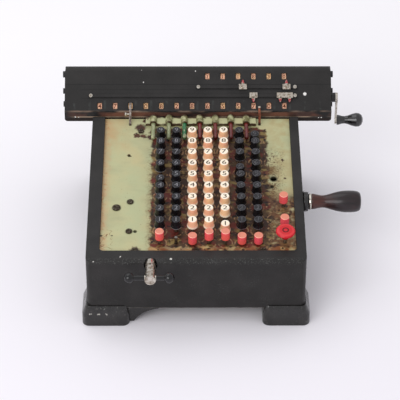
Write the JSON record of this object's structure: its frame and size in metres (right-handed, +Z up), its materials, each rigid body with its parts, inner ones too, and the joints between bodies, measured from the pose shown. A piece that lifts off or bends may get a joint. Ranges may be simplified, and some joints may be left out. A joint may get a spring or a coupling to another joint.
{
  "type": "mechanical calculator",
  "caption": "Desk calculator with a full keyboard on a sloping case, a side crank and a sliding register carriage with digit windows.",
  "frame": {"origin": "on the table, under the middle of the machine's box", "axes": "+X to the operator's right along the carriage, +Y to the back, +Z up"},
  "size_m": [0.3118, 0.284, 0.1463],
  "materials": {
    "black_enamel": "crackle enamel",
    "foot_casting": "gloss enamel on cast iron",
    "green_enamel": "worn satin enamel",
    "steel": "plain",
    "browned_steel": "rusted",
    "nickel": "worn nickel plate",
    "cream_key": "gloss",
    "black_key": "gloss",
    "red_key": "gloss",
    "faded_rod": "worn",
    "green_rod": "gloss",
    "red_rod": "gloss",
    "stained_wood": "polished",
    "cream_dial": "satin",
    "black_knob": "gloss"
  },
  "bodies": {
    "case": {"case_body": "black_enamel", "base_pan": "steel", "feet": "foot_casting", "keyboard_plate": "green_enamel", "key_guide_plate": "steel", "case_screws": "steel", "mechanism_frame": "steel", "carriage_rails": "steel", "guide_fingers": "browned_steel"},
    "latches": {"latch_slides": "steel"},
    "digit_column_1": {"digit_keys_1": "black_key"},
    "digit_column_2": {"digit_keys_2": "black_key"},
    "digit_column_3": {"digit_keys_3": "cream_key"},
    "digit_column_4": {"digit_keys_4": "cream_key"},
    "digit_column_5": {"digit_keys_5": "cream_key"},
    "digit_column_6": {"digit_keys_6": "black_key"},
    "digit_column_7": {"digit_keys_7": "black_key"},
    "latched_key_1": {"latched_key_1": "black_key"},
    "latched_key_5": {"latched_key_5": "cream_key"},
    "latched_key_6": {"latched_key_6": "black_key"},
    "latched_key_7": {"latched_key_7": "black_key"},
    "clear_key_1": {"clear_key_1": "red_key"},
    "clear_key_2": {"clear_key_2": "nickel"},
    "clear_key_3": {"clear_key_3": "red_key"},
    "clear_key_4": {"clear_key_4": "red_key"},
    "clear_key_5": {"clear_key_5": "red_key"},
    "clear_key_6": {"clear_key_6": "red_key"},
    "clear_key_7": {"clear_key_7": "red_key"},
    "rear_control_key": {"rear_control_key": "red_key"},
    "front_control_key": {"front_control_key": "red_key"},
    "large_control_key": {"large_control_key": "red_key"},
    "decimal_rod_1": {"decimal_rod_1": "faded_rod"},
    "decimal_rod_2": {"decimal_rod_2": "faded_rod"},
    "decimal_rod_3": {"decimal_rod_3": "green_rod"},
    "decimal_rod_4": {"decimal_rod_4": "red_rod"},
    "decimal_rod_5": {"decimal_rod_5": "red_rod"},
    "decimal_rod_6": {"decimal_rod_6": "red_rod"},
    "decimal_rod_7": {"decimal_rod_7": "red_rod"},
    "crank": {"crank_arm": "black_enamel", "crank_shaft": "steel"},
    "grip": {"crank_grip": "stained_wood", "grip_ferrule": "nickel"},
    "idler": {"idler_gear": "steel"},
    "drums": {"drum_shaft": "steel"},
    "selecting": {"selecting_gears": "steel"},
    "intermediate": {"intermediate_gears": "steel"},
    "carriage": {"carriage_frame": "black_enamel", "carriage_cover": "black_enamel", "pointer_rails": "black_enamel", "carriage_screws": "steel"},
    "shift_handle": {"shift_handle": "nickel"},
    "shift_idler": {"shift_idler": "steel"},
    "upper_pointer_1": {"upper_pointer_1": "nickel"},
    "upper_pointer_2": {"upper_pointer_2": "nickel"},
    "lower_pointer_1": {"lower_pointer_1": "nickel"},
    "lower_pointer_2": {"lower_pointer_2": "nickel"},
    "product_dials": {"product_dials": "cream_dial"},
    "counter_dials": {"counter_dials": "cream_dial"},
    "clearing_crank": {"clearing_crank": "nickel"},
    "clearing_knob": {"clearing_knob": "black_knob"}
  },
  "joints": [
    {"name": "latch_release", "type": "slide", "parent": "case", "child": "latches", "axis": [0, 0.9848, 0.1736], "range_m": [-0.0015, 0], "stiffness_N_per_m": 300, "springref_m": 0.001},
    {"name": "digit_column_1_press", "type": "slide", "parent": "case", "child": "digit_column_1", "axis": [0, -0.1736, 0.9848], "range_m": [-0.0055, 0], "stiffness_N_per_m": 250, "springref_m": 0.003},
    {"name": "digit_column_2_press", "type": "slide", "parent": "case", "child": "digit_column_2", "axis": [0, -0.1736, 0.9848], "range_m": [-0.0055, 0], "stiffness_N_per_m": 250, "springref_m": 0.003},
    {"name": "digit_column_3_press", "type": "slide", "parent": "case", "child": "digit_column_3", "axis": [0, -0.1736, 0.9848], "range_m": [-0.0055, 0], "stiffness_N_per_m": 250, "springref_m": 0.003},
    {"name": "digit_column_4_press", "type": "slide", "parent": "case", "child": "digit_column_4", "axis": [0, -0.1736, 0.9848], "range_m": [-0.0055, 0], "stiffness_N_per_m": 250, "springref_m": 0.003},
    {"name": "digit_column_5_press", "type": "slide", "parent": "case", "child": "digit_column_5", "axis": [0, -0.1736, 0.9848], "range_m": [-0.0055, 0], "stiffness_N_per_m": 250, "springref_m": 0.003},
    {"name": "digit_column_6_press", "type": "slide", "parent": "case", "child": "digit_column_6", "axis": [0, -0.1736, 0.9848], "range_m": [-0.0055, 0], "stiffness_N_per_m": 250, "springref_m": 0.003},
    {"name": "digit_column_7_press", "type": "slide", "parent": "case", "child": "digit_column_7", "axis": [0, -0.1736, 0.9848], "range_m": [-0.0055, 0], "stiffness_N_per_m": 250, "springref_m": 0.003},
    {"name": "latched_key_1_press", "type": "slide", "parent": "case", "child": "latched_key_1", "axis": [0, -0.1736, 0.9848], "range_m": [0, 0.0055]},
    {"name": "latched_key_5_press", "type": "slide", "parent": "case", "child": "latched_key_5", "axis": [0, -0.1736, 0.9848], "range_m": [0, 0.0055]},
    {"name": "latched_key_6_press", "type": "slide", "parent": "case", "child": "latched_key_6", "axis": [0, -0.1736, 0.9848], "range_m": [0, 0.0055]},
    {"name": "latched_key_7_press", "type": "slide", "parent": "case", "child": "latched_key_7", "axis": [0, -0.1736, 0.9848], "range_m": [0, 0.0055]},
    {"name": "clear_key_1_press", "type": "slide", "parent": "case", "child": "clear_key_1", "axis": [0, -0.1736, 0.9848], "range_m": [-0.0055, 0], "stiffness_N_per_m": 250, "springref_m": 0.003},
    {"name": "clear_key_2_press", "type": "slide", "parent": "case", "child": "clear_key_2", "axis": [0, -0.1736, 0.9848], "range_m": [-0.0055, 0], "stiffness_N_per_m": 250, "springref_m": 0.003},
    {"name": "clear_key_3_press", "type": "slide", "parent": "case", "child": "clear_key_3", "axis": [0, -0.1736, 0.9848], "range_m": [0, 0.0055]},
    {"name": "clear_key_4_press", "type": "slide", "parent": "case", "child": "clear_key_4", "axis": [0, -0.1736, 0.9848], "range_m": [-0.0055, 0], "stiffness_N_per_m": 250, "springref_m": 0.003},
    {"name": "clear_key_5_press", "type": "slide", "parent": "case", "child": "clear_key_5", "axis": [0, -0.1736, 0.9848], "range_m": [-0.0055, 0], "stiffness_N_per_m": 250, "springref_m": 0.003},
    {"name": "clear_key_6_press", "type": "slide", "parent": "case", "child": "clear_key_6", "axis": [0, -0.1736, 0.9848], "range_m": [0, 0.0055]},
    {"name": "clear_key_7_press", "type": "slide", "parent": "case", "child": "clear_key_7", "axis": [0, -0.1736, 0.9848], "range_m": [0, 0.0055]},
    {"name": "rear_control_key_press", "type": "slide", "parent": "case", "child": "rear_control_key", "axis": [0, -0.1736, 0.9848], "range_m": [-0.0055, 0], "stiffness_N_per_m": 250, "springref_m": 0.003},
    {"name": "front_control_key_press", "type": "slide", "parent": "case", "child": "front_control_key", "axis": [0, -0.1736, 0.9848], "range_m": [-0.0055, 0], "stiffness_N_per_m": 250, "springref_m": 0.003},
    {"name": "large_control_key_press", "type": "slide", "parent": "case", "child": "large_control_key", "axis": [0, -0.1736, 0.9848], "range_m": [-0.0055, 0], "stiffness_N_per_m": 250, "springref_m": 0.003},
    {"name": "decimal_rod_1_turn", "type": "hinge", "parent": "case", "child": "decimal_rod_1", "pos_m": [-0.06186, 0.07211, 0.10818], "axis": [0, 0.9848, 0.1736], "range_deg": [0, 180]},
    {"name": "decimal_rod_2_turn", "type": "hinge", "parent": "case", "child": "decimal_rod_2", "pos_m": [-0.04599, 0.07211, 0.10818], "axis": [0, 0.9848, 0.1736], "range_deg": [0, 180]},
    {"name": "decimal_rod_3_turn", "type": "hinge", "parent": "case", "child": "decimal_rod_3", "pos_m": [-0.03011, 0.07211, 0.10818], "axis": [0, 0.9848, 0.1736], "range_deg": [0, 180]},
    {"name": "decimal_rod_4_turn", "type": "hinge", "parent": "case", "child": "decimal_rod_4", "pos_m": [-0.01424, 0.07211, 0.10818], "axis": [0, 0.9848, 0.1736], "range_deg": [0, 180]},
    {"name": "decimal_rod_5_turn", "type": "hinge", "parent": "case", "child": "decimal_rod_5", "pos_m": [0.00164, 0.07211, 0.10818], "axis": [0, 0.9848, 0.1736], "range_deg": [0, 180]},
    {"name": "decimal_rod_6_turn", "type": "hinge", "parent": "case", "child": "decimal_rod_6", "pos_m": [0.01751, 0.07211, 0.10818], "axis": [0, 0.9848, 0.1736], "range_deg": [0, 180]},
    {"name": "decimal_rod_7_turn", "type": "hinge", "parent": "case", "child": "decimal_rod_7", "pos_m": [0.03339, 0.07211, 0.10818], "axis": [0, 0.9848, 0.1736], "range_deg": [0, 180]},
    {"name": "crank_turn", "type": "hinge", "parent": "case", "child": "crank", "pos_m": [0.08695, 0.00146, 0.06091], "axis": [1, 0, 0], "continuous": true},
    {"name": "grip_spin", "type": "hinge", "parent": "crank", "child": "grip", "pos_m": [0.09695, -0.03295, 0.085], "axis": [1, 0, 0], "continuous": true},
    {"name": "idler_turn", "type": "hinge", "parent": "case", "child": "idler", "pos_m": [0.0613, 0.03092, 0.0624], "axis": [1, 0, 0], "continuous": true},
    {"name": "drum_turn", "type": "hinge", "parent": "case", "child": "drums", "pos_m": [0.0613, 0.06038, 0.0639], "axis": [1, 0, 0], "continuous": true},
    {"name": "selecting_turn", "type": "hinge", "parent": "case", "child": "selecting", "pos_m": [-0.0187, 0.08273, 0.07684], "axis": [1, 0, 0], "continuous": true},
    {"name": "intermediate_turn", "type": "hinge", "parent": "case", "child": "intermediate", "pos_m": [-0.0187, 0.10224, 0.08903], "axis": [1, 0, 0], "continuous": true},
    {"name": "carriage_shift", "type": "slide", "parent": "case", "child": "carriage", "axis": [1, 0, 0], "range_m": [-0.03175, 0.0635]},
    {"name": "shift_handle_turn", "type": "hinge", "parent": "case", "child": "shift_handle", "pos_m": [-0.0622, -0.11695, 0.06998], "axis": [0, 1, 0], "range_deg": [-722, 362]},
    {"name": "shift_idler_turn", "type": "hinge", "parent": "case", "child": "shift_idler", "pos_m": [-0.0622, 0.11596, 0.08716], "axis": [0, 1, 0], "range_deg": [-152, 302]},
    {"name": "upper_pointer_1_slide", "type": "slide", "parent": "carriage", "child": "upper_pointer_1", "axis": [1, 0, 0], "range_m": [-0.039, 0.036]},
    {"name": "upper_pointer_2_slide", "type": "slide", "parent": "carriage", "child": "upper_pointer_2", "axis": [1, 0, 0], "range_m": [-0.036, 0.002]},
    {"name": "lower_pointer_1_slide", "type": "slide", "parent": "carriage", "child": "lower_pointer_1", "axis": [1, 0, 0], "range_m": [-0.16, 0.017]},
    {"name": "lower_pointer_2_slide", "type": "slide", "parent": "carriage", "child": "lower_pointer_2", "axis": [1, 0, 0], "range_m": [-0.019, 0]},
    {"name": "product_dials_turn", "type": "hinge", "parent": "carriage", "child": "product_dials", "pos_m": [-0.0187, 0.09965, 0.11007], "axis": [1, 0, 0], "continuous": true},
    {"name": "counter_dials_turn", "type": "hinge", "parent": "carriage", "child": "counter_dials", "pos_m": [0.0313, 0.12044, 0.13369], "axis": [1, 0, 0], "continuous": true},
    {"name": "clearing_crank_turn", "type": "hinge", "parent": "carriage", "child": "clearing_crank", "pos_m": [0.1216, 0.10246, 0.12177], "axis": [1, 0, 0], "continuous": true},
    {"name": "clearing_knob_spin", "type": "hinge", "parent": "clearing_crank", "child": "clearing_knob", "pos_m": [0.1316, 0.10246, 0.09417], "axis": [1, 0, 0], "continuous": true}
  ],
  "couplings": [
    {"joint": "idler_turn", "follows": "crank_turn", "ratio": -1.1852},
    {"joint": "drum_turn", "follows": "crank_turn", "ratio": 1},
    {"joint": "intermediate_turn", "follows": "selecting_turn", "ratio": -1.3},
    {"joint": "shift_handle_turn", "follows": "carriage_shift", "rad_per_m": -197.9},
    {"joint": "shift_idler_turn", "follows": "carriage_shift", "rad_per_m": 82.457}
  ]
}
